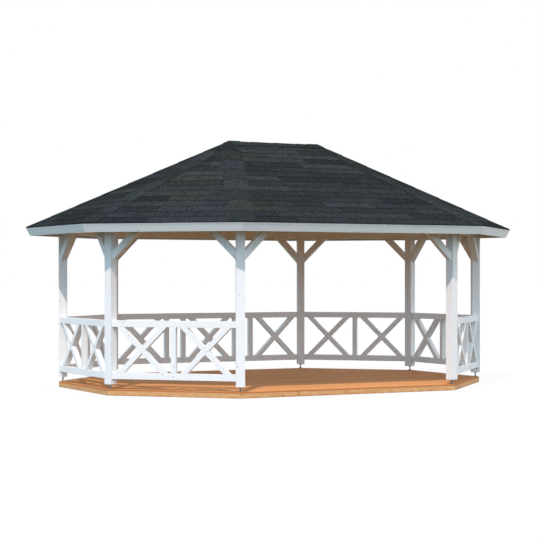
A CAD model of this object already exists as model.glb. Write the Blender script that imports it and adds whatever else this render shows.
import math
import random
import bmesh
import bpy
from mathutils import Matrix, Vector


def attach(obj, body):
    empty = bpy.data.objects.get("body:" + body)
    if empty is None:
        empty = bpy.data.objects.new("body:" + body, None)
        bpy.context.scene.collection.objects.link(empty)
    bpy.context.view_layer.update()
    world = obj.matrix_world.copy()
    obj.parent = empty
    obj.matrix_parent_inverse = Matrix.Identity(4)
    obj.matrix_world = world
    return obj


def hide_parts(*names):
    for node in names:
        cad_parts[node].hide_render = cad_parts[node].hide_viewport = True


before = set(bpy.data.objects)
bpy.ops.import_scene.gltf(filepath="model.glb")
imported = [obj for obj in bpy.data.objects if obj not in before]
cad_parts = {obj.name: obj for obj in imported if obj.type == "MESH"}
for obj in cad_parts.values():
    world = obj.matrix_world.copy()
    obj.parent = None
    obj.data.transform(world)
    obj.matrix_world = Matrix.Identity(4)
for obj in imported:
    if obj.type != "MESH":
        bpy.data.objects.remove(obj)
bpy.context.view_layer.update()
scene = bpy.context.scene
scene.view_settings.view_transform = "Standard"
print("frame loaded:", len(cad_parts), "nodes")

# plan of the gazebo, in metres, as in the part's source
plan = {
    "sideLength": 1.850,  # post to post on a short side
    "stretch": 1.490,  # extra length of front and back, and the ridge
    "deckTop": 0.083,
    "footTop": 0.148,
    "beamUnder": 2.220,
    "beamHeight": 0.2725,  # at the outer face
    "beamWidth": 0.090,
    "setBack": 0.014,  # of beams and braces from the middle of the rails
    "postWidth": 0.120,
    "pitch": 25,
    "eaveReach": 0.493,
    "boardThick": 0.019,
    "seat": 0.0003,
    "mitre": 0.0006,  # half of a corner's joint, finer here than in the source
}
turn = math.radians(45)
halfTurn = turn / 2
pitch = math.radians(plan["pitch"])
apothem = plan["sideLength"] / 2 / math.tan(halfTurn)
postRing = apothem / math.cos(halfTurn)
railOut = apothem + plan["postWidth"] / 2 * math.sin(halfTurn)  # rails sit on the posts' side faces
braceOut = railOut - plan["setBack"]
boardDrop = plan["boardThick"] / math.cos(pitch)
eaveOut = apothem + plan["eaveReach"]
beamTop = plan["beamUnder"] + plan["beamHeight"]
ridgeTop = beamTop + boardDrop + (braceOut + plan["beamWidth"] / 2) * math.tan(pitch)
sideNames = ["front", "front_right", "right", "back_right", "back", "back_left", "left", "front_left"]
cornerNames = ["front_right", "right_front", "right_back", "back_right",
               "back_left", "left_back", "left_front", "front_left"]


def roofHeight(out):
    return ridgeTop - out * math.tan(pitch)


def longHalf(side):
    return plan["stretch"] / 2 if side % 4 == 0 else 0


def sideSpan(side):
    return plan["sideLength"] + 2 * longHalf(side)


def sidePlace(side):  # x along the side, -y outwards
    shift = 0 if side % 4 == 0 else plan["stretch"] / 2 * (1 if side < 4 else -1)
    return Matrix.Translation((shift, 0, 0)) @ Matrix.Rotation(turn * side, 4, "Z")


def cornerPlace(corner):  # origin over the ridge's end, -y outwards through the post
    shift = plan["stretch"] / 2 * (1 if corner < 4 else -1)
    return Matrix.Translation((shift, 0, 0)) @ Matrix.Rotation(halfTurn + turn * corner, 4, "Z")


def hexColour(code):
    parts = [int(code[i:i + 2], 16) / 255 for i in (1, 3, 5)]
    return [c / 12.92 if c <= 0.04045 else ((c + 0.055) / 1.055) ** 2.4 for c in parts] + [1]


def addNode(tree, kind, inputs=None, **settings):
    node = tree.nodes.new(kind)
    for key, value in settings.items():
        setattr(node, key, value)
    for key, value in (inputs or {}).items():
        if isinstance(value, bpy.types.NodeSocket):
            tree.links.new(value, node.inputs[key])
        else:
            node.inputs[key].default_value = value
    return node


def calc(tree, operation, *values):
    return addNode(tree, "ShaderNodeMath", dict(enumerate(values)), operation=operation).outputs[0]


def axes(tree, **values):  # a vector from the axes named, 0 along the others
    return addNode(tree, "ShaderNodeCombineXYZ", values).outputs[0]


def mapTo(tree, value, toMin, toMax, fromMin=0.0, fromMax=1.0):
    return addNode(tree, "ShaderNodeMapRange", {"Value": value, "From Min": fromMin, "From Max": fromMax,
                   "To Min": toMin, "To Max": toMax}).outputs[0]


def mixed(tree, share, first, second):
    return addNode(tree, "ShaderNodeMix", {"Factor": share, 6: first, 7: second},
                   data_type="RGBA").outputs[2]


def mapped(tree, place, scale):
    return addNode(tree, "ShaderNodeMapping", {"Vector": place, "Scale": scale}).outputs[0]


def noise(tree, place, scale=1.0, **inputs):
    return addNode(tree, "ShaderNodeTexNoise", {"Vector": place, "Scale": scale, **inputs}).outputs["Fac"]


def bump(tree, height, strength, distance):
    return addNode(tree, "ShaderNodeBump", {"Height": height, "Strength": strength,
                   "Distance": distance}).outputs[0]


def objectPlace(tree):
    return addNode(tree, "ShaderNodeTexCoord").outputs["Object"]


def faceValue(tree, name):
    return addNode(tree, "ShaderNodeAttribute", attribute_name=name).outputs["Fac"]


def newMaterial(name):
    material = bpy.data.materials.new(name)
    material.use_nodes = True
    material.node_tree.nodes.clear()
    return material, material.node_tree


def finishMaterial(tree, shader):
    addNode(tree, "ShaderNodeOutputMaterial", {"Surface": shader.outputs[0]})


def finishRough(tree, colour, look, height):  # a matt or satin surface with a fine relief
    finishMaterial(tree, addNode(tree, "ShaderNodeBsdfPrincipled", {
        "Base Color": colour, "Roughness": look["roughness"], "IOR": 1.5,
        "Specular IOR Level": look["gloss"], "Normal": bump(tree, height, *look["relief"])}))


def ownSpot(tree, place, apart):  # gives each bar its own part of the pattern
    far = calc(tree, "MULTIPLY", faceValue(tree, "tone"), apart)
    return addNode(tree, "ShaderNodeVectorMath", {0: place, 1: axes(tree, X=far, Z=far)},
                   operation="ADD").outputs[0]


def knotMarks(tree, spot, look):  # strong within a knot's core, fading out at its rim
    spacing, (core, rim) = look["knotSpacing"], look["knotSize"]
    cells = mapped(tree, spot, (1 / spacing[0], 1 / spacing[1], 1))
    knots = addNode(tree, "ShaderNodeTexVoronoi", {"Vector": cells, "Scale": 1.0}, feature="F1")
    return mapTo(tree, knots.outputs["Distance"], look["knots"], 0.0, core, rim)


# White paint rolled on planed spruce: satin, the grain stands up a little, knots show as faint grey spots
whitePaint = {
    "colour": "#f3f4f4",
    "shade": "#e9eae9",
    "knot": "#9d9893",
    "knots": 0.75,
    "knotSize": (0.05, 0.1),  # core and rim, as parts of the spacing
    "knotSpacing": (0.15, 0.09),
    "grainWidth": 0.007,  # growth rings, drawn a little coarse so that they show
    "grainLength": 0.45,
    "clumps": 30,  # a metre, where there is no grain map
    "apart": 40.0,
    "relief": (0.25, 0.0012),
    "gloss": 0.08,
    "roughness": 0.46,
}


def paintedSpruce(name, look, grained):
    material, tree = newMaterial(name)
    if grained:
        place = addNode(tree, "ShaderNodeUVMap", uv_map="grain").outputs[0]
        along = (1 / look["grainLength"], 1 / look["grainWidth"], 1)
    else:
        place = objectPlace(tree)
        along = (look["clumps"],) * 3
    spot = ownSpot(tree, place, look["apart"])
    grain = noise(tree, mapped(tree, spot, along), Detail=3.0, Distortion=0.6)
    paint = mixed(tree, grain, hexColour(look["shade"]), hexColour(look["colour"]))
    spotted = mixed(tree, knotMarks(tree, spot, look), paint, hexColour(look["knot"]))
    finishRough(tree, spotted, look, grain)
    return material


paintedSawn = paintedSpruce("white painted spruce", whitePaint, True)
paintedFrame = paintedSpruce("white painted spruce rafters", whitePaint, False)
# White glaze on the roof boards: thinner than paint, so the wood warms it a little and knots show darker
whiteGlaze = dict(whitePaint, colour="#f8e4c4", shade="#f0d8b4", knot="#a98c64")
glazedBoards = paintedSpruce("white glazed spruce boards", whiteGlaze, True)


def toMesh(shape, name):
    mesh = bpy.data.meshes.new(name)
    shape.to_mesh(mesh)
    shape.free()
    return mesh


def joinTo(shape, piece):
    scrap = toMesh(piece, "scrap")
    shape.from_mesh(scrap)
    bpy.data.meshes.remove(scrap)


# a sawn bar between two points, trimmed by planes, with a grain map along it; its edges are eased, but
# for those at the height flush
def sawnBar(shape, place, start, end, up, width, depth, cuts=(), ease=0.003, dice=random.Random(4),
            flush=None):
    start, end = Vector(start), Vector(end)
    along = (end - start).normalized()
    up = (Vector(up) - along * along.dot(Vector(up))).normalized()
    across = along.cross(up)
    piece = bmesh.new()
    bmesh.ops.create_cube(piece, size=1)
    size = (end - start).length
    for vert in piece.verts:
        x, y, z = vert.co
        vert.co = (start + end) / 2 + along * x * size + across * y * width + up * z * depth
    for point, normal in cuts:
        whole = piece.verts[:] + piece.edges[:] + piece.faces[:]
        found = bmesh.ops.bisect_plane(piece, geom=whole, dist=1e-6, plane_co=Vector(point),
                                       plane_no=Vector(normal), clear_outer=True)
        rim = [item for item in found["geom_cut"] if isinstance(item, bmesh.types.BMEdge)]
        if rim:
            bmesh.ops.edgenet_fill(piece, edges=rim)
    bmesh.ops.recalc_face_normals(piece, faces=piece.faces[:])
    if ease:
        rim = [edge for edge in piece.edges
               if flush is None or any(abs(v.co.z - flush) > 1e-5 for v in edge.verts)]
        bmesh.ops.bevel(piece, geom=rim, offset=ease, segments=2, profile=0.5, affect="EDGES",
                        clamp_overlap=True)
    grain = piece.loops.layers.uv.new("grain")
    tone = piece.faces.layers.float.new("tone")
    offset, value = (dice.uniform(0, 9), dice.uniform(0, 9)), dice.random()
    for face in piece.faces:
        face[tone] = value
        lean = [abs(face.normal.dot(axis)) for axis in (along, across, up)]
        first, second = (along, up) if lean[1] > lean[2] else (along, across)
        if lean[0] > 0.9:
            first, second = across, up
        for loop in face.loops:
            spot = loop.vert.co
            loop[grain].uv = (spot.dot(first) + offset[0], spot.dot(second) + offset[1])
    piece.transform(place)
    joinTo(shape, piece)


def newShape():
    shape = bmesh.new()
    shape.loops.layers.uv.new("grain")
    shape.faces.layers.float.new("tone")
    shape.faces.layers.float.new("cut")
    return shape


def markCuts(shape, bare=1):  # every face that doesn't look up counts as a cut edge, more or less bare
    cut = shape.faces.layers.float["cut"]
    for face in shape.faces:
        face[cut] = 0 if face.normal.z > 0.6 else bare


# makes the piece, puts it on the body and in place of its nodes
def settle(name, source, material, nodes=()):
    mesh = toMesh(source, name) if isinstance(source, bmesh.types.BMesh) else source
    mesh.name = name
    mesh.materials.clear()
    mesh.materials.append(material)
    piece = bpy.data.objects.new(name, mesh)
    scene.collection.objects.link(piece)
    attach(piece, "root")
    if nodes:
        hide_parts(*nodes)


def paintNode(node, material):  # a look for a piece that stays as in the part's source
    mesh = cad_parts[node].data
    mesh.materials.clear()
    mesh.materials.append(material)


def mitreCuts(side, gap):  # planes between a side and its neighbours
    edge = longHalf(side) - gap / math.cos(halfTurn)
    return [((k * edge, 0, 0), (k * math.cos(halfTurn), math.sin(halfTurn), 0)) for k in (1, -1)]


def seatCuts(side):  # planes of the two posts' faces
    edge = sideSpan(side) / 2 - plan["postWidth"] / 2 / math.cos(halfTurn) - plan["seat"]
    return [((k * edge, -apothem, 0), (k * math.cos(halfTurn), math.sin(halfTurn), 0)) for k in (1, -1)]


# posts
posts = {"ease": 0.004}
for corner, name in enumerate(cornerNames):
    shape = newShape()
    foot, head = (0, -postRing, plan["footTop"]), (0, -postRing, plan["beamUnder"])
    sawnBar(shape, cornerPlace(corner), foot, head, (0, 1, 0), plan["postWidth"], plan["postWidth"],
            ease=posts["ease"])
    settle("post." + name, shape, paintedSawn, ["post_" + name])

# top beams, which meet under the hip rafters and stop at their sides above, and knee braces; what is spare
# gets trimmed off
bracing = {"hipSeat": 0.145, "hipWidth": 0.070, "room": 0.30, "spare": 0.2, "braceWidth": 0.090,
           "braceLeg": 0.444, "braceLength": 1.2, "seed": 20}
low, hips = plan["beamUnder"], plan["beamUnder"] + bracing["hipSeat"]
layers = ((low, bracing["hipSeat"], plan["mitre"]),
          (hips, bracing["room"], bracing["hipWidth"] / 2 + plan["seat"]))
underRoof = ((0, -braceOut, roofHeight(braceOut) - boardDrop), (0, -math.sin(pitch), math.cos(pitch)))
for side, name in enumerate(sideNames):
    reach = sideSpan(side) / 2
    far = Vector((reach + bracing["spare"], 0, 0))
    shape = newShape()
    for base, room, gap in layers:
        heart = Vector((0, -braceOut, base + room / 2))
        sawnBar(shape, sidePlace(side), heart - far, heart + far, (0, 0, 1), plan["beamWidth"], room,
                [underRoof] + mitreCuts(side, gap), dice=random.Random(bracing["seed"] + side), flush=hips)
    settle("beam." + name, shape, paintedSawn, ["beam_" + name])
    shape = newShape()
    width = bracing["braceWidth"]
    for k in (1, -1):
        foot = Vector((-k * reach, -braceOut, low - bracing["braceLeg"]))
        rise = Vector((k, 0, 1)).normalized()
        lift = Vector((-k, 0, 1)).normalized()
        heart = foot + lift * width / 2
        sawnBar(shape, sidePlace(side), heart - rise * bracing["spare"],
                heart + rise * bracing["braceLength"], lift, width, width,
                [((0, 0, low), (0, 0, 1))] + seatCuts(side))
    settle("braces." + name, shape, paintedSawn, ["braces_" + name])
print("posts, beams and braces done")

# railings: two rails, uprights, and crosses with one bar let in between the halves of the other
railings = {"railHeight": 0.090, "thick": 0.070, "barWidth": 0.070, "bottom": 0.140, "top": 0.933,
            "pairGap": 0.217, "crossHalf": 0.6}
thick, barWidth, railHeight = railings["thick"], railings["barWidth"], railings["railHeight"]
railLow, railTop = plan["deckTop"] + railings["bottom"], plan["deckTop"] + railings["top"]
low, high = railLow + railHeight, railTop - railHeight
ends = [((0, 0, low), (0, 0, -1)), ((0, 0, high), (0, 0, 1))]
rise, fall = Vector((1, 0, 1)).normalized(), Vector((1, 0, -1)).normalized()
for side, name in enumerate(sideNames):
    if side == 0:
        continue
    place, reach = sidePlace(side), sideSpan(side) / 2
    shape = newShape()
    for z in (railLow, high):
        heart = z + railHeight / 2
        sawnBar(shape, place, (-reach, -railOut, heart), (reach, -railOut, heart), (0, 0, 1), thick,
                railHeight, seatCuts(side))
    outer = longHalf(side)
    inner = outer - railings["pairGap"] - barWidth
    uprights = [-outer, -inner, inner, outer] if outer else [0]
    endBay = (reach - plan["postWidth"] / 2 * math.cos(halfTurn) + outer + barWidth / 2) / 2
    for x in uprights:
        sawnBar(shape, place, (x, -railOut, low), (x, -railOut, high), (0, 1, 0), barWidth, thick)
    for x in [-endBay, endBay] + ([0] if outer else []):
        heart = Vector((x, -railOut, (low + high) / 2))
        half = railings["crossHalf"]
        sawnBar(shape, place, heart - rise * half, heart + rise * half, fall, thick, barWidth, ends)
        for k in (1, -1):
            sawnBar(shape, place, heart, heart + fall * half * k, rise, thick, barWidth,
                    ends + [(heart + fall * k * barWidth / 2, fall * -k)])
    settle("railing." + name, shape, paintedSawn, ["railing_" + name])
print("railings done")

# fascia boards square to the slope, with a thin strip along the top
eaves = {"fasciaHeight": 0.125, "fasciaThick": 0.020, "fasciaEase": 0.0025, "stripHeight": 0.014,
         "stripThick": 0.003, "stripEase": 0.0008, "spare": 0.4}
shape, strips = newShape(), newShape()
downSlope = Vector((0, -math.cos(pitch), -math.sin(pitch)))
offSlope = Vector((0, -math.sin(pitch), math.cos(pitch)))
edge = Vector((0, -eaveOut, roofHeight(eaveOut)))
for side in range(8):
    far = Vector((sideSpan(side) / 2 + eaves["spare"], 0, 0))
    heart = edge - offSlope * eaves["fasciaHeight"] / 2 - downSlope * eaves["fasciaThick"] / 2
    sawnBar(shape, sidePlace(side), heart - far, heart + far, offSlope, eaves["fasciaThick"],
            eaves["fasciaHeight"], mitreCuts(side, plan["mitre"]), ease=eaves["fasciaEase"])
    heart = edge - offSlope * eaves["stripHeight"] / 2 + downSlope * eaves["stripThick"] / 2
    sawnBar(strips, sidePlace(side), heart - far, heart + far, offSlope, eaves["stripThick"],
            eaves["stripHeight"], mitreCuts(side, plan["mitre"]), ease=eaves["stripEase"])
settle("fascia", shape, paintedSawn, ["fascia"])
settle("eaveStrip", strips, paintedSawn, ["eave_trim"])
for node in ("hip_rafters", "common_rafters", "ridge_beam", "king_blocks"):
    paintNode(node, paintedFrame)
print("fascia and roof frame done")


def newTree(name, inputs):
    tree = bpy.data.node_groups.new(name, "GeometryNodeTree")
    tree.interface.new_socket("Geometry", in_out="INPUT", socket_type="NodeSocketGeometry")
    for label, kind in inputs.items():
        tree.interface.new_socket(label, in_out="INPUT", socket_type="NodeSocket" + kind)
    tree.interface.new_socket("Geometry", in_out="OUTPUT", socket_type="NodeSocketGeometry")
    return tree, addNode(tree, "NodeGroupInput").outputs


def pointSpot(tree):
    place = addNode(tree, "GeometryNodeInputPosition").outputs[0]
    return addNode(tree, "ShaderNodeSeparateXYZ", {0: place}).outputs


def stored(tree, geometry, name, value, domain="POINT", kind="FLOAT"):
    return addNode(tree, "GeometryNodeStoreNamedAttribute", {"Geometry": geometry, "Name": name,
                   "Value": value}, data_type=kind, domain=domain).outputs[0]


def recalled(tree, name, kind="FLOAT"):
    return addNode(tree, "GeometryNodeInputNamedAttribute", {"Name": name}, data_type=kind).outputs[0]


def chance(tree, seed, low=0.0, high=1.0, **group):
    return addNode(tree, "FunctionNodeRandomValue", {2: low, 3: high, "Seed": seed, **group},
                   data_type="FLOAT").outputs[1]


def moved(tree, points, **how):
    return addNode(tree, "GeometryNodeSetPosition", {"Geometry": points, **how}).outputs[0]


def without(tree, points, selection):
    return addNode(tree, "GeometryNodeDeleteGeometry", {"Geometry": points, "Selection": selection},
                   domain="POINT").outputs[0]


def compared(tree, operation, first, second):
    return addNode(tree, "FunctionNodeCompare", {0: first, 1: second}, data_type="FLOAT",
                   operation=operation).outputs[0]


def laidOut(tree, points, piece, **how):
    return addNode(tree, "GeometryNodeInstanceOnPoints", {"Points": points, "Instance": piece,
                   **how}).outputs[0]


def realized(tree, laid):
    return addNode(tree, "GeometryNodeRealizeInstances", {"Geometry": laid}).outputs[0]


def withTone(tree, laid, seed, **group):  # a random tone for each piece laid, kept on its faces
    laid = realized(tree, stored(tree, laid, "lot", chance(tree, seed, **group), "INSTANCE"))
    return stored(tree, laid, "tone", recalled(tree, "lot"), "FACE")


def endTree(tree, laid, material):
    done = addNode(tree, "GeometryNodeSetMaterial", {"Geometry": laid, "Material": material}).outputs[0]
    addNode(tree, "NodeGroupOutput", {"Geometry": done})


def grow(tree, base, values):  # runs the tree on a mesh and returns a plain mesh
    holder = bpy.data.objects.new(tree.name, base)
    scene.collection.objects.link(holder)
    modifier = holder.modifiers.new(tree.name, "NODES")
    modifier.node_group = tree
    for item in tree.interface.items_tree:
        if item.in_out == "INPUT" and item.name in values:
            modifier[item.identifier] = values[item.name]
    depsgraph = bpy.context.evaluated_depsgraph_get()
    mesh = bpy.data.meshes.new_from_object(holder.evaluated_get(depsgraph), preserve_all_data_layers=True,
                                           depsgraph=depsgraph)
    bpy.data.objects.remove(holder)
    return mesh


# Bitumen shingle: felt coated with mineral granules, fully matt and speckled, each strip of its own batch,
# cut edges bare black
shingleLook = {
    "slate": "#292d2e",
    "violet": "#292c30",
    "moss": "#2c312f",
    "underlay": "#121415",
    "grit": 0.022,  # granules are 1 to 2 mm, drawn coarser so that they show
    "speck": (0.15, 1.95),
    "batch": (0.7, 1.24),
    "blotch": 1.1,  # size of the blotches over several tabs
    "relief": (0.4, 0.004),
    "gloss": 0.0,
    "roughness": 0.95,
    "sand": 120.0,  # grains a metre on the underlay
}


def shingleFelt():
    material, tree = newMaterial("bitumen shingle with mineral granules")
    tone = faceValue(tree, "tone")
    place = objectPlace(tree)
    blotch = noise(tree, place, 1 / shingleLook["blotch"], Detail=1.0)
    grit = noise(tree, place, 1 / shingleLook["grit"], Detail=3.0, Roughness=0.75)
    hue = mapTo(tree, calc(tree, "MULTIPLY_ADD", blotch, 1.3, tone), 0.0, 1.0, 0.4, 1.9)
    ramp = addNode(tree, "ShaderNodeValToRGB", {"Fac": hue})
    stops = ramp.color_ramp.elements
    stops[0].position, stops[0].color = 0.2, hexColour(shingleLook["violet"])
    stops[1].position, stops[1].color = 0.8, hexColour(shingleLook["moss"])
    stops.new(0.5).color = hexColour(shingleLook["slate"])
    speck = mapTo(tree, grit, *shingleLook["speck"], 0.3, 0.7)
    step = addNode(tree, "ShaderNodeTexWhiteNoise", {"W": tone}, noise_dimensions="1D").outputs["Value"]
    level = calc(tree, "MULTIPLY", speck, mapTo(tree, step, *shingleLook["batch"]))
    shade = addNode(tree, "ShaderNodeVectorMath", {0: ramp.outputs[0], "Scale": level},
                    operation="SCALE").outputs[0]
    shade = mixed(tree, faceValue(tree, "cut"), shade, hexColour(shingleLook["underlay"]))
    finishRough(tree, shade, shingleLook, grit)
    return material


# Bitumen underlay: near black sanded sheet, seen in the joints and as the dark line at the eaves
def underlayFelt():
    material, tree = newMaterial("sanded bitumen underlay")
    sand = noise(tree, objectPlace(tree), shingleLook["sand"], Detail=2.0)
    shade = addNode(tree, "ShaderNodeVectorMath", {0: hexColour(shingleLook["underlay"])[:3],
                    "Scale": mapTo(tree, sand, 0.6, 1.4)}, operation="SCALE").outputs[0]
    finishMaterial(tree, addNode(tree, "ShaderNodeBsdfPrincipled", {
        "Base Color": shade, "Roughness": 0.9, "Specular IOR Level": 0.1}))
    return material


felt, underFelt = shingleFelt(), underlayFelt()

# tree that lays rows of a tab or board up a slope and trims each row to the hips
courses = {"wander": 0.12, "spareTabs": 3.0, "slimmest": 0.02, "stripShift": 1.37, "stripsPerRow": 100.0}
courseTree, given = newTree("coursesOnSlope", {
    "Tab Width": "Float", "Exposure": "Float", "Slope Length": "Float", "Eave Half": "Float",
    "Ridge Half": "Float", "Tab Length": "Float", "Lift": "Float", "Joint": "Float", "Trim": "Float",
    "Stagger": "Float", "Strip": "Float", "Seed": "Int", "Material": "Material"})
tree = courseTree
rows = calc(tree, "CEIL", calc(tree, "DIVIDE", given["Slope Length"], given["Exposure"]))
width = calc(tree, "MULTIPLY", given["Eave Half"], 2.0)
perLine = calc(tree, "CEIL", calc(tree, "DIVIDE", width, given["Tab Width"]))
columns = calc(tree, "ADD", perLine, courses["spareTabs"])
sizeX = calc(tree, "MULTIPLY", calc(tree, "SUBTRACT", columns, 1.0), given["Tab Width"])
sizeY = calc(tree, "MULTIPLY", calc(tree, "SUBTRACT", rows, 1.0), given["Exposure"])
points = addNode(tree, "GeometryNodeMeshGrid", {"Size X": sizeX, "Size Y": sizeY, "Vertices X": columns,
                 "Vertices Y": rows}).outputs["Mesh"]
spot = pointSpot(tree)
height = calc(tree, "MULTIPLY_ADD", sizeY, 0.5, spot["Y"])
row = calc(tree, "ROUND", calc(tree, "DIVIDE", height, given["Exposure"]))
wander = chance(tree, given["Seed"], -courses["wander"], courses["wander"], ID=row)
slide = calc(tree, "MULTIPLY_ADD", calc(tree, "MODULO", row, 2.0), 0.5, wander)
slide = calc(tree, "MULTIPLY", slide, given["Stagger"])
centre = calc(tree, "MULTIPLY_ADD", slide, given["Tab Width"], spot["X"])
halfTab = calc(tree, "MULTIPLY", given["Tab Width"], 0.5)
shrink = calc(tree, "SUBTRACT", given["Eave Half"], given["Ridge Half"])
shrink = calc(tree, "DIVIDE", shrink, given["Slope Length"])
lost = calc(tree, "MULTIPLY", calc(tree, "ADD", height, given["Trim"]), shrink)
edge = calc(tree, "SUBTRACT", given["Eave Half"], lost)
left = calc(tree, "MAXIMUM", calc(tree, "SUBTRACT", centre, halfTab), calc(tree, "MULTIPLY", edge, -1.0))
right = calc(tree, "MINIMUM", calc(tree, "ADD", centre, halfTab), edge)
wide = calc(tree, "SUBTRACT", calc(tree, "SUBTRACT", right, left), given["Joint"])
middle = calc(tree, "MULTIPLY", calc(tree, "ADD", left, right), 0.5)
room = calc(tree, "SUBTRACT", given["Slope Length"], height)
tall = calc(tree, "MINIMUM", calc(tree, "DIVIDE", room, given["Tab Length"]), 1.0)
# neighbouring tabs belong to one strip, so they share a number; each row starts its strips elsewhere
column = calc(tree, "DIVIDE", spot["X"], given["Tab Width"])
column = calc(tree, "MULTIPLY_ADD", row, courses["stripShift"], column)
strip = calc(tree, "FLOOR", calc(tree, "DIVIDE", column, given["Strip"]))
strip = calc(tree, "MULTIPLY_ADD", row, courses["stripsPerRow"], strip)
# width, height and strip travel with the points, because the points move
for label, value in (("wide", wide), ("tall", tall), ("strip", strip)):
    points = stored(tree, points, label, value)
slim = compared(tree, "LESS_THAN", wide, courses["slimmest"])
points = stored(tree, points, "slim", slim, kind="BOOLEAN")
points = moved(tree, points, Position=axes(tree, X=middle, Y=height, Z=given["Lift"]))
points = without(tree, points, recalled(tree, "slim", "BOOLEAN"))
wideScale = calc(tree, "DIVIDE", recalled(tree, "wide"), given["Tab Width"])
lean = calc(tree, "MULTIPLY", calc(tree, "DIVIDE", given["Lift"], given["Tab Length"]), -1.0)
laid = laidOut(tree, points, given["Geometry"], Rotation=axes(tree, X=lean),
               Scale=axes(tree, X=wideScale, Y=recalled(tree, "tall"), Z=1.0))
endTree(tree, withTone(tree, laid, given["Seed"], ID=recalled(tree, "strip")), given["Material"])


def flatSlab(width, length, thick, ease):  # lower edge on x, growing up y, with a grain map
    shape = newShape()
    sawnBar(shape, Matrix(), (-width / 2, length / 2, thick / 2), (width / 2, length / 2, thick / 2),
            (0, 0, 1), length, thick, ease=ease)
    markCuts(shape)
    return toMesh(shape, "slab")


# lays courses of a slab on all slopes from the given line up; x along the eave, y up the slope, z off it
def coverSlopes(shape, slab, out, above, seed, values):
    for side in range(8):
        half = longHalf(side)
        mesh = grow(courseTree, slab, dict(values, **{
            "Slope Length": out / math.cos(pitch), "Eave Half": out * math.tan(halfTurn) + half,
            "Ridge Half": half, "Seed": seed + side}))
        foot = Vector((0, -out, roofHeight(out))) + offSlope * above
        mesh.transform(sidePlace(side) @ Matrix.Translation(foot) @ Matrix.Rotation(pitch, 4, "X"))
        shape.from_mesh(mesh)


shingles = {"exposure": 0.183, "tabWidth": 0.415, "overlap": 0.060, "thick": 0.006, "ease": 0.0012,
            "joint": 0.0055, "drip": 0.003, "above": 0.0005, "underlay": 0.0004, "starter": 0.030,
            "starterThick": 0.0038, "spare": 0.3, "strip": 2.4, "seed": 11}
shape = newShape()
tabLength = shingles["exposure"] + shingles["overlap"]
tab = flatSlab(shingles["tabWidth"], tabLength, shingles["thick"], shingles["ease"])
out = eaveOut + shingles["drip"] * math.cos(pitch)
coverSlopes(shape, tab, out, shingles["above"], shingles["seed"], {
    "Tab Width": shingles["tabWidth"], "Exposure": shingles["exposure"], "Tab Length": tabLength,
    "Lift": shingles["thick"], "Joint": shingles["joint"], "Trim": tabLength, "Stagger": 1.0,
    "Strip": shingles["strip"], "Material": felt})
settle("shingleCourses", shape, felt, ["shingles"])

shape = newShape()  # underlay on the boards, with a starter strip that stands out under the lowest course
sheets = ((out / math.cos(pitch), shingles["underlay"]), (shingles["starter"], shingles["starterThick"]))
for side in range(8):
    far = Vector((out * math.tan(halfTurn) + longHalf(side) + shingles["spare"], 0, 0))
    for length, thick in sheets:
        heart = Vector((0, -out, roofHeight(out))) - downSlope * length / 2 + offSlope * thick / 2
        sawnBar(shape, sidePlace(side), heart - far, heart + far, offSlope, length, thick,
                mitreCuts(side, 0.0), ease=0)
settle("roofUnderlay", shape, underFelt)
print("shingle courses done")

# tree that lays folded caps one over the other up a line
capTree, given = newTree("capsAlongLine", {
    "Count": "Int", "Start": "Float", "Exposure": "Float", "Line Length": "Float", "Cap Length": "Float",
    "Lift": "Float", "Seed": "Int", "Material": "Material"})
tree = capTree
points = addNode(tree, "GeometryNodeMeshLine", {
    "Count": given["Count"], "Start Location": axes(tree, Y=given["Start"]),
    "Offset": axes(tree, Y=given["Exposure"])}).outputs[0]
room = calc(tree, "SUBTRACT", given["Line Length"], pointSpot(tree)["Y"])
tall = calc(tree, "MINIMUM", calc(tree, "DIVIDE", room, given["Cap Length"]), 1.0)
points = moved(tree, points, Offset=axes(tree, Z=given["Lift"]))
lean = calc(tree, "MULTIPLY", calc(tree, "DIVIDE", given["Lift"], given["Cap Length"]), -1.0)
laid = laidOut(tree, points, given["Geometry"], Rotation=axes(tree, X=lean),
               Scale=axes(tree, X=1.0, Y=tall, Z=1.0))
endTree(tree, withTone(tree, laid, given["Seed"]), given["Material"])

caps = {"wing": 0.165, "exposure": 0.404, "overlap": 0.060, "thick": 0.004, "lift": 0.005, "fold": 0.020,
        "above": 0.007, "bare": 0.4, "leastWing": 0.03, "slack": 0.001, "seed": 31}
wingSteps = (-1, -0.5, -0.2, -0.09, -0.03, 0.03, 0.09, 0.2, 0.5, 1)


def foldedCap(drop, length, notch=0, wings=(1, 1)):  # a shingle folded over a hip or the ridge
    cap = newShape()
    rings = []
    # the notch cuts the lower edge back
    for y, cutBack, part in ((0, notch, wings[0]), (length, 0, wings[1])):
        across = [k * part * caps["wing"] for k in wingSteps]
        sag = [-(math.hypot(x, caps["fold"]) - caps["fold"]) * math.tan(drop) for x in across]
        top = [cap.verts.new((x, y + cutBack * abs(x), z + caps["thick"])) for x, z in zip(across, sag)]
        under = [cap.verts.new((x, y + cutBack * abs(x), z)) for x, z in zip(across, sag)]
        rings.append(top + under[::-1])
    count = len(rings[0])
    for k in range(count):
        cap.faces.new((rings[0][k - 1], rings[0][k], rings[1][k], rings[1][k - 1]))
    for ring in rings:
        for k in range(len(wingSteps) - 1):
            cap.faces.new((ring[k], ring[k + 1], ring[count - k - 2], ring[count - k - 1]))
    bmesh.ops.recalc_face_normals(cap, faces=cap.faces[:])
    markCuts(cap, caps["bare"])
    return toMesh(cap, "cap")


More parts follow.
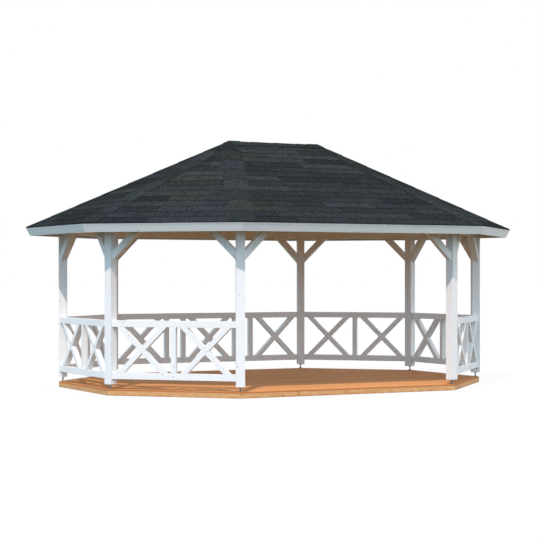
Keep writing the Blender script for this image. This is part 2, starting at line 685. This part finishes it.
shape = newShape()
hipRing = out / math.cos(halfTurn)
hipRise = math.atan(math.tan(pitch) * math.cos(halfTurn))
hipLength = hipRing / math.cos(hipRise)
hipUp = math.sin(pitch) * math.cos(halfTurn) * math.sin(hipRise) + math.cos(pitch) * math.cos(hipRise)
hipDrop = math.atan(math.sin(pitch) * math.sin(halfTurn) / hipUp)
capLength = caps["exposure"] + caps["overlap"]
hipCount, ridgeCount = round(hipLength / caps["exposure"]), round(plan["stretch"] / caps["exposure"])
hipStep, ridgeStep = hipLength / hipCount, plan["stretch"] / ridgeCount


def wingShare(left):  # near the ridge's end a cap is no wider than its share between the hips
    room = left * math.cos(hipRise) * math.tan(halfTurn)
    return min(1, max(caps["leastWing"], room / caps["wing"]))


hipCaps = [  # first cap, how many, shape
    (0, 1, foldedCap(hipDrop, capLength, math.tan(halfTurn) * math.cos(hipRise))),  # follows the eaves
    (1, hipCount - 3, foldedCap(hipDrop, capLength)),
    (hipCount - 2, 1, foldedCap(hipDrop, capLength, 0, (1, wingShare(2 * hipStep - capLength)))),
    (hipCount - 1, 1, foldedCap(hipDrop, hipStep, 0, (wingShare(hipStep), wingShare(0)))),
]
ridgeCaps = [(0, ridgeCount, foldedCap(pitch, capLength))]
hipFoot = Matrix.Translation((0, -hipRing, roofHeight(out) + caps["above"]))
hipTurn = Matrix.Rotation(hipRise, 4, "X")
ridgeFoot = Matrix.Translation((-plan["stretch"] / 2, 0, ridgeTop + caps["above"]))
ridgeTurn = Matrix.Rotation(-math.pi / 2, 4, "Z")
lines = [(cornerPlace(corner) @ hipFoot @ hipTurn, hipCaps, hipStep, hipLength) for corner in range(8)]
lines.append((ridgeFoot @ ridgeTurn, ridgeCaps, ridgeStep, plan["stretch"]))
for line, (place, rows, step, length) in enumerate(lines):
    for first, count, cap in rows:
        mesh = grow(capTree, cap, {
            "Count": count, "Start": first * step, "Exposure": step, "Line Length": length + caps["slack"],
            "Cap Length": min(capLength, max(v.co.y for v in cap.vertices)), "Lift": caps["lift"],
            "Seed": caps["seed"] + 9 * first + line, "Material": felt})
        mesh.transform(place)
        shape.from_mesh(mesh)

# a sheet pressed over each end of the ridge, where four hips meet; the lifts are heights over the slopes
ridgeEnds = {"reach": 0.10, "inward": 0.18, "thick": 0.005, "above": 0.002, "sideLift": 0.012,
             "hipLift": 0.018, "slopeLift": 0.008, "topLift": 0.019}
reach, inward = ridgeEnds["reach"], ridgeEnds["inward"]
rim = [(-inward, -0.8 * reach, ridgeEnds["sideLift"]), (0, -0.9 * reach, ridgeEnds["sideLift"])]
rim += [(reach * math.cos(halfTurn * n), reach * math.sin(halfTurn * n),
         ridgeEnds["hipLift"] if n % 2 else ridgeEnds["slopeLift"]) for n in (-3, -2, -1, 0, 1, 2, 3)]
rim += [(0, 0.9 * reach, ridgeEnds["sideLift"]), (-inward, 0.8 * reach, ridgeEnds["sideLift"])]
for k in (1, -1):
    patch = bmesh.new()
    edge = []
    for x, y, lift in rim:
        fall = max([abs(y)] + [x * math.cos(turn * n) + y * math.sin(turn * n) for n in (-1, 0, 1)])
        edge.append(patch.verts.new((x, y, lift - fall * math.tan(pitch))))
    back = patch.verts.new((-inward, 0, ridgeEnds["topLift"]))
    top = patch.verts.new((0, 0, ridgeEnds["topLift"]))
    for a, b in zip(edge[1:-2], edge[2:-1]):
        patch.faces.new((top, a, b))
    patch.faces.new((top, back, edge[0], edge[1]))
    patch.faces.new((top, edge[-2], edge[-1], back))
    bmesh.ops.recalc_face_normals(patch, faces=patch.faces[:])
    bmesh.ops.solidify(patch, geom=patch.faces[:], thickness=ridgeEnds["thick"])
    bmesh.ops.recalc_face_normals(patch, faces=patch.faces[:])
    patch.transform(Matrix.Translation((k * plan["stretch"] / 2, 0, ridgeTop + ridgeEnds["above"]))
                    @ Matrix.Rotation(0 if k > 0 else math.pi, 4, "Z"))
    joinTo(shape, patch)
settle("hipAndRidgeCaps", shape, felt)
print("hip and ridge caps done")

# Larch oiled in an orange brown for the deck, golden pine for its edge, rough spruce for the joists: grain
# in long dark streaks, knots plainest on the edge boards
warmWood = {  # ring is the width of a growth ring, cloud the length and height of a blotch
    "deck": {"light": "#da9d63", "dark": "#c5874f", "knot": "#8a5630", "knots": 0.3, "ring": 0.009,
             "cloud": (0.7, 0.07), "knotSpacing": (0.55, 0.14), "lot": 0.24, "gloss": 0.05,
             "roughness": 0.62},
    "edge": {"light": "#e3b584", "dark": "#c58a52", "knot": "#74391c", "knots": 0.9, "ring": 0.011,
             "cloud": (0.09, 0.05), "knotSpacing": (0.12, 0.15), "lot": 0.03, "gloss": 0.1,
             "roughness": 0.6, "rim": "#b56d38"},
    "joist": {"light": "#c9a878", "dark": "#a88456", "knot": "#6d4a2a", "knots": 0.4, "ring": 0.012,
              "cloud": (0.7, 0.07), "knotSpacing": (0.55, 0.14), "lot": 0.1, "gloss": 0.1,
              "roughness": 0.8},
}
woodGrain = {"apart": 60.0, "knotSize": (0.03, 0.11), "alongPerMetre": 2.2, "contrast": 0.2,
             "relief": (0.3, 0.0012)}
oilRim = {"strength": 0.85, "ragged": 0.020, "upper": (0.014, 0.004), "lower": (0.024, 0.015)}


def oiledWood(name, look, grained):
    material, tree = newMaterial(name)
    look = dict(look, **woodGrain)
    if grained:
        place = addNode(tree, "ShaderNodeUVMap", uv_map="grain").outputs[0]
    else:
        place = addNode(tree, "ShaderNodeMapping", {"Vector": objectPlace(tree),
                        "Rotation": (0, 0, math.pi / 2)}).outputs[0]
    spot = ownSpot(tree, place, look["apart"])
    streak = noise(tree, mapped(tree, spot, (look["alongPerMetre"], 1 / look["ring"], 1)), Detail=4.0,
                   Distortion=0.8)
    cloud = noise(tree, mapped(tree, spot, (1 / look["cloud"][0], 1 / look["cloud"][1], 1)), Detail=2.0)
    lot = mapTo(tree, faceValue(tree, "tone"), -look["lot"], look["lot"])
    both = calc(tree, "MULTIPLY_ADD", calc(tree, "ADD", streak, cloud), 0.5, lot)
    both = mapTo(tree, both, 0.0, 1.0, 0.5 - look["contrast"], 0.5 + look["contrast"])
    wood = mixed(tree, both, hexColour(look["dark"]), hexColour(look["light"]))
    if "rim" in look:  # more oil soaks in along the upper and lower edge
        height = addNode(tree, "ShaderNodeSeparateXYZ", {0: objectPlace(tree)}).outputs["Z"]
        ragged = calc(tree, "MULTIPLY_ADD", cloud, oilRim["ragged"], height)
        upper = [plan["deckTop"] - depth for depth in oilRim["upper"]]
        soaked = [mapTo(tree, ragged, 0.0, oilRim["strength"], *heights)
                  for heights in (upper, oilRim["lower"])]
        wood = mixed(tree, calc(tree, "MAXIMUM", *soaked), wood, hexColour(look["rim"]))
    wood = mixed(tree, knotMarks(tree, spot, look), wood, hexColour(look["knot"]))
    finishRough(tree, wood, look, streak)
    return material


deckLarch = oiledWood("oiled larch decking", warmWood["deck"], True)
edgePine = oiledWood("golden pine edge boards", warmWood["edge"], True)
joistSpruce = oiledWood("sawn spruce joists", warmWood["joist"], False)

# roof boards with eased edges, laid along the eaves
roofBoards = {"pitch": 0.1165, "joint": 0.001, "start": 0.020, "length": 4.0, "ease": 0.003, "trim": 0.8,
              "seed": 51}
shape = newShape()
out = eaveOut - roofBoards["start"] * math.cos(pitch)
boardWidth = roofBoards["pitch"] - roofBoards["joint"]
board = flatSlab(roofBoards["length"], boardWidth, plan["boardThick"], roofBoards["ease"])
coverSlopes(shape, board, out, -plan["boardThick"], roofBoards["seed"], {
    "Tab Width": roofBoards["length"], "Exposure": roofBoards["pitch"], "Tab Length": boardWidth,
    "Lift": 0.0, "Joint": roofBoards["joint"], "Trim": roofBoards["pitch"] * roofBoards["trim"],
    "Stagger": 0.0, "Strip": 1.0, "Material": glazedBoards})
settle("roofBoards", shape, glazedBoards, ["roof_boards"])
print("roof boards done")

# tree that lays deck boards side by side and trims them to the floor's outline
deckTree, given = newTree("deckBoards", {"Board": "Object", "Pitch": "Float", "Count": "Int", "Seed": "Int",
                                         "Material": "Material"})
tree = deckTree
first = calc(tree, "MULTIPLY", calc(tree, "SUBTRACT", given["Count"], 1.0), given["Pitch"])
first = calc(tree, "MULTIPLY", first, -0.5)
points = addNode(tree, "GeometryNodeMeshLine", {
    "Count": given["Count"], "Start Location": axes(tree, Y=first),
    "Offset": axes(tree, Y=given["Pitch"])}).outputs[0]
plank = addNode(tree, "GeometryNodeObjectInfo", {"Object": given["Board"]}).outputs["Geometry"]
laid = withTone(tree, laidOut(tree, points, plank), given["Seed"])
cut = addNode(tree, "GeometryNodeMeshBoolean", operation="INTERSECT", solver="EXACT")
tree.links.new(laid, cut.inputs["Mesh 2"])
tree.links.new(given["Geometry"], cut.inputs["Mesh 2"])
endTree(tree, cut.outputs[0], given["Material"])

decking = {"reach": 0.034, "thick": 0.028, "count": 36, "gap": 0.005, "ease": 0.003, "tongue": 0.010,
           "tongueRoom": 0.003, "halfLength": 3.2, "room": 0.01, "edgeThick": 0.020, "edgeReach": 0.054,
           "edgeEase": 0.0025, "spare": 0.2, "seed": 5}
prism = bmesh.new()
ring = (apothem + decking["reach"]) / math.cos(halfTurn)
corners = [cornerPlace(k) @ Vector((0, -ring, 0)) for k in range(8)]
under = plan["deckTop"] - decking["thick"] - decking["room"]
low = [prism.verts.new((v.x, v.y, under)) for v in corners]
high = [prism.verts.new((v.x, v.y, plan["deckTop"] + decking["room"])) for v in corners]
prism.faces.new(low[::-1])
prism.faces.new(high)
for k in range(8):
    prism.faces.new((low[k - 1], low[k], high[k], high[k - 1]))
bmesh.ops.recalc_face_normals(prism, faces=prism.faces[:])
outline = toMesh(prism, "outline")
boardPitch = 2 * (apothem + decking["reach"]) / decking["count"]
heart = plan["deckTop"] - decking["thick"] / 2
layers = [  # boards, then the tongues that close the joints between them
    (decking["count"], boardPitch - decking["gap"], decking["thick"], decking["ease"]),
    (decking["count"] - 1, decking["gap"] + 2 * decking["tongueRoom"], decking["tongue"], 0),
]
deck = newShape()
for count, width, thick, ease in layers:
    shape = newShape()
    sawnBar(shape, Matrix(), (-decking["halfLength"], 0, heart), (decking["halfLength"], 0, heart),
            (0, 0, 1), width, thick, ease=ease)
    plankHolder = bpy.data.objects.new("plank", toMesh(shape, "plank"))
    scene.collection.objects.link(plankHolder)
    mesh = grow(deckTree, outline, {"Board": plankHolder, "Pitch": boardPitch, "Count": count,
                                    "Seed": decking["seed"], "Material": deckLarch})
    bpy.data.objects.remove(plankHolder)
    deck.from_mesh(mesh)
settle("deckBoards", deck, deckLarch, ["deck"])

shape = newShape()
heart = Vector((0, -(apothem + decking["edgeReach"] - decking["edgeThick"] / 2), plan["deckTop"] / 2))
for side in range(8):
    far = Vector((sideSpan(side) / 2 + decking["spare"], 0, 0))
    sawnBar(shape, sidePlace(side), heart - far, heart + far, (0, 0, 1), decking["edgeThick"],
            plan["deckTop"], mitreCuts(side, plan["mitre"]), ease=decking["edgeEase"])
settle("floorEdge", shape, edgePine, ["floor_skirt"])
paintNode("floor_joists", joistSpruce)
print("deck done")

# Hot-dip galvanised steel: dull mid grey, cloudy, a broad soft gloss
steelLook = {"light": "#a9aeb0", "dark": "#8b9092", "cloud": 0.012, "roughness": (0.34, 0.54)}
# Browned steel of the deck screws: darker than the boards, hardly any gleam
screwLook = {"light": "#5f4a37", "dark": "#4a392b", "cloud": 0.004, "roughness": (0.52, 0.72)}


def cloudySteel(name, look):
    material, tree = newMaterial(name)
    cloud = addNode(tree, "ShaderNodeTexVoronoi", {"Vector": objectPlace(tree), "Scale": 1 / look["cloud"]},
                    feature="F1")
    fleck = addNode(tree, "ShaderNodeSeparateColor", {0: cloud.outputs["Color"]}).outputs[0]
    zinc = mixed(tree, fleck, hexColour(look["dark"]), hexColour(look["light"]))
    finishMaterial(tree, addNode(tree, "ShaderNodeBsdfPrincipled", {
        "Base Color": zinc, "Metallic": 1.0, "Roughness": mapTo(tree, fleck, *look["roughness"])}))
    return material


steel = cloudySteel("galvanised steel", steelLook)
screwSteel = cloudySteel("browned steel", screwLook)


# a closed turned form from (radius, height) pairs
def turned(shape, profile, sides, place=Matrix(), twist=0.0):
    piece = bmesh.new()
    angles = [2 * math.pi * k / sides + twist for k in range(sides)]
    rings = [[piece.verts.new((radius * math.cos(a), radius * math.sin(a), z)) for a in angles]
             for radius, z in profile]
    for low, high in zip(rings, rings[1:]):
        for k in range(sides):
            piece.faces.new((low[k - 1], low[k], high[k], high[k - 1]))
    piece.faces.new(rings[0][::-1])
    piece.faces.new(rings[-1])
    bmesh.ops.recalc_face_normals(piece, faces=piece.faces[:])
    piece.transform(place)
    joinTo(shape, piece)


# tree that sets a foot under each post
footTree, given = newTree("feetUnderPosts", {"Ring": "Float", "Shift": "Float", "Material": "Material"})
tree = footTree
points = addNode(tree, "GeometryNodeMeshCircle", {"Vertices": 8, "Radius": given["Ring"]}).outputs[0]
points = addNode(tree, "GeometryNodeTransform", {"Geometry": points,
                 "Rotation": (0, 0, halfTurn)}).outputs[0]
spot = pointSpot(tree)
points = stored(tree, points, "aim", calc(tree, "ARCTAN2", spot["Y"], spot["X"]))
apart = calc(tree, "MULTIPLY", calc(tree, "SIGN", spot["X"]), given["Shift"])
points = moved(tree, points, Offset=axes(tree, X=apart))
laid = laidOut(tree, points, given["Geometry"], Rotation=axes(tree, Z=recalled(tree, "aim")))
endTree(tree, realized(tree, laid), given["Material"])

feet = {"plate": 0.044, "plateThick": 0.006, "plateEase": 0.001, "rod": 0.020, "thread": 0.0025,
        "threadDepth": 0.0012, "nutWidth": 0.027, "nutHeight": 0.009, "nutEdge": 0.0015, "nutTop": 0.93,
        "nutTwist": 60, "screwInset": 0.0055, "screwHead": 0.0032}
shape = newShape()
low, high, half = plan["deckTop"], plan["footTop"], feet["plate"] / 2
for z in (low + feet["plateThick"] / 2, high - feet["plateThick"] / 2):
    sawnBar(shape, Matrix(), (-half, 0, z), (half, 0, z), (0, 0, 1), feet["plate"], feet["plateThick"],
            ease=feet["plateEase"])
start, end = low + feet["plateThick"], high - feet["plateThick"]
steps = 2 * round((end - start) / feet["thread"])
profile = [(feet["rod"] / 2 - (feet["threadDepth"] if k % 2 else 0), start + (end - start) * k / steps)
           for k in range(steps + 1)]
turned(shape, profile, 20)
nut, tall, bevel = feet["nutWidth"] / math.sqrt(3), feet["nutHeight"], feet["nutEdge"]
for z in (start, end - tall):
    turned(shape, [(nut * feet["nutTop"], z), (nut, z + bevel), (nut, z + tall - bevel),
                   (nut * feet["nutTop"], z + tall)], 6, twist=z * feet["nutTwist"])
head, inset = feet["screwHead"], half - feet["screwInset"]
for x in (1, -1):
    for y in (1, -1):
        turned(shape, [(head, 0), (head, 0.0025), (head * 0.85, 0.0042), (head * 0.3, 0.0046)], 12,
               Matrix.Translation((x * inset, y * inset, start)))
mesh = grow(footTree, toMesh(shape, "foot"), {"Ring": postRing, "Shift": plan["stretch"] / 2,
                                              "Material": steel})
settle("postFeet", mesh, steel, ["post_feet"])

# tree that sets pairs of screws along the joists, wherever the deck is under them
screwTree, given = newTree("screwsInDeck", {
    "Joist Pitch": "Float", "Joists": "Int", "Board Pitch": "Float", "Boards": "Int", "Reach": "Float",
    "Shift": "Float", "Height": "Float", "Material": "Material"})
tree = screwTree
wide = [calc(tree, "MULTIPLY", calc(tree, "SUBTRACT", given[many], 1.0), given[step])
        for many, step in (("Joists", "Joist Pitch"), ("Boards", "Board Pitch"))]
points = addNode(tree, "GeometryNodeMeshGrid", {"Size X": wide[0], "Size Y": wide[1],
                 "Vertices X": given["Joists"], "Vertices Y": given["Boards"]}).outputs[0]
spot = pointSpot(tree)
away = calc(tree, "SUBTRACT", calc(tree, "ABSOLUTE", spot["X"]), given["Shift"])
aside = calc(tree, "ABSOLUTE", spot["Y"])
slant = calc(tree, "MULTIPLY", calc(tree, "ADD", away, aside), math.sqrt(0.5))
most = calc(tree, "MAXIMUM", calc(tree, "MAXIMUM", away, aside), slant)
points = without(tree, points, compared(tree, "GREATER_THAN", most, given["Reach"]))
points = moved(tree, points, Offset=axes(tree, Z=given["Height"]))
endTree(tree, realized(tree, laidOut(tree, points, given["Geometry"])), given["Material"])

deckScrews = {"joistPitch": 0.600, "joists": 9, "apart": 0.070, "head": 0.0045, "inside": 0.055}
shape = newShape()
head = deckScrews["head"]
profile = [(head * 0.7, -0.002), (head, -0.0004), (head * 0.9, 0.0003), (head * 0.45, 0.0004),
           (head * 0.4, -0.0008)]
for k in (1, -1):
    turned(shape, profile, 8, Matrix.Translation((0, k * deckScrews["apart"] / 2, 0)))
mesh = grow(screwTree, toMesh(shape, "screws"), {
    "Joist Pitch": deckScrews["joistPitch"], "Joists": deckScrews["joists"], "Board Pitch": boardPitch,
    "Boards": decking["count"], "Reach": apothem - deckScrews["inside"], "Shift": plan["stretch"] / 2,
    "Height": plan["deckTop"], "Material": screwSteel})
settle("deckScrews", mesh, screwSteel)
print("feet and screws done")

# camera at the photograph's viewing angle
view = {"place": (-11.2487, -21.4586, 1.6359), "turn": (90.1528, 0, -27.5285), "lens": 108.507}
camera = bpy.data.objects.new("camera", bpy.data.cameras.new("camera"))
camera.location = view["place"]
camera.rotation_euler = [math.radians(a) for a in view["turn"]]
camera.data.lens = view["lens"]
camera.data.sensor_width = 36
camera.data.clip_end = 500
scene.collection.objects.link(camera)
scene.camera = camera

# light: one key from the front left, a soft surround, bluer on the left and weaker overhead, a pale floor
studio = {"key": 2.64, "keyColour": "#ffece4", "keyTurn": -38.55, "keyRise": 52.1, "keySize": 0.4,
          "level": 1.9, "left": "#a6d3f0", "right": "#f4f8ff", "overhead": "#babfc7", "floor": "#dcdcda",
          "floorBounce": "#3e3c20", "floorWhite": 0.9, "floorHalf": 150, "floorHeight": -0.001}
key = bpy.data.objects.new("key", bpy.data.lights.new("key", "SUN"))
key.data.energy = studio["key"]
key.data.color = hexColour(studio["keyColour"])[:3]
key.data.angle = math.radians(studio["keySize"])
key.rotation_euler = (math.radians(90 - studio["keyRise"]), 0, math.radians(studio["keyTurn"]))
scene.collection.objects.link(key)


def lookedAt(tree):  # 1 for rays from the eye, also by way of gloss or glass
    path = addNode(tree, "ShaderNodeLightPath").outputs
    straight = calc(tree, "MAXIMUM", path["Is Camera Ray"], path["Is Glossy Ray"])
    return calc(tree, "MAXIMUM", straight, path["Is Transmission Ray"])


def shared(tree, share, first, second):
    return addNode(tree, "ShaderNodeMixShader", {0: share, 1: first.outputs[0], 2: second.outputs[0]})


world = bpy.data.worlds.new("studio")
scene.world = world
world.use_nodes = True
tree = world.node_tree
tree.nodes.clear()
aim = addNode(tree, "ShaderNodeTexCoord").outputs["Generated"]
aim = addNode(tree, "ShaderNodeSeparateXYZ", {0: aim}).outputs
sideways = mapTo(tree, aim["X"], 0.0, 1.0, -1.0, 1.0)
around = mixed(tree, sideways, hexColour(studio["left"]), hexColour(studio["right"]))
sky = mixed(tree, aim["Z"], around, hexColour(studio["overhead"]))
soft = addNode(tree, "ShaderNodeBackground", {"Color": sky, "Strength": studio["level"]})
white = addNode(tree, "ShaderNodeBackground", {"Color": (1, 1, 1, 1), "Strength": 1.0})
surround = shared(tree, lookedAt(tree), soft, white)
addNode(tree, "ShaderNodeOutputWorld", {"Surface": surround.outputs[0]})

floorMaterial, tree = newMaterial("pale studio floor")
seen = lookedAt(tree)
pale = mixed(tree, seen, hexColour(studio["floorBounce"]), hexColour(studio["floor"]))
matt = addNode(tree, "ShaderNodeBsdfDiffuse", {"Color": pale})
glow = addNode(tree, "ShaderNodeEmission", {"Color": (1, 1, 1, 1), "Strength": 1.0})
finishMaterial(tree, shared(tree, calc(tree, "MULTIPLY", seen, studio["floorWhite"]), matt, glow))
floorMesh = bpy.data.meshes.new("floor")
floorCorners = [(x * studio["floorHalf"], y * studio["floorHalf"], studio["floorHeight"])
                for x, y in ((-1, -1), (1, -1), (1, 1), (-1, 1))]
floorMesh.from_pydata(floorCorners, [], [(0, 1, 2, 3)])
floorMesh.materials.append(floorMaterial)
floor = bpy.data.objects.new("floor", floorMesh)
scene.collection.objects.link(floor)
print("camera, light and floor done")
